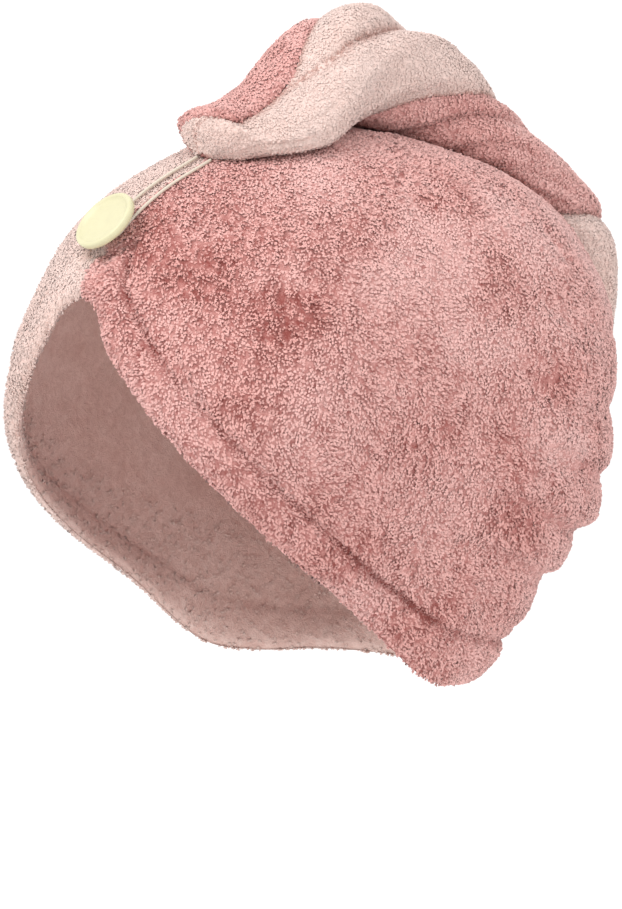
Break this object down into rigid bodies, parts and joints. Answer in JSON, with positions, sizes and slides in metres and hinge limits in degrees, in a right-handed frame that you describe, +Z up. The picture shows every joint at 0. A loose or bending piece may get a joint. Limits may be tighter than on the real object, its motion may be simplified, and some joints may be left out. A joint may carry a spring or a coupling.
{
  "type": "hair turban towel",
  "caption": "Pile fleece hair turban towel in its worn form: a hood whose twisted tail lies over the crown and is looped to a button in front.",
  "frame": {"origin": "inside of the crown, where the top of the wearer's head carries the towel", "axes": "+Z up, the forehead and the button towards -Y, the wearer's left (the rose half) towards +X"},
  "size_m": [0.1858, 0.2542, 0.252],
  "materials": {
    "rose_fleece": "deep matt pile, dusty rose",
    "pink_fleece": "deep matt pile, light pink",
    "button": "satin ivory resin",
    "elastic": "matt cream covered elastic"
  },
  "bodies": {
    "root": {"hood_left_panel": "rose_fleece", "hood_right_panel": "pink_fleece", "tail_rose_strand": "rose_fleece", "tail_pink_strand": "pink_fleece", "button": "button", "elastic_loop": "elastic"}
  },
  "joints": []
}
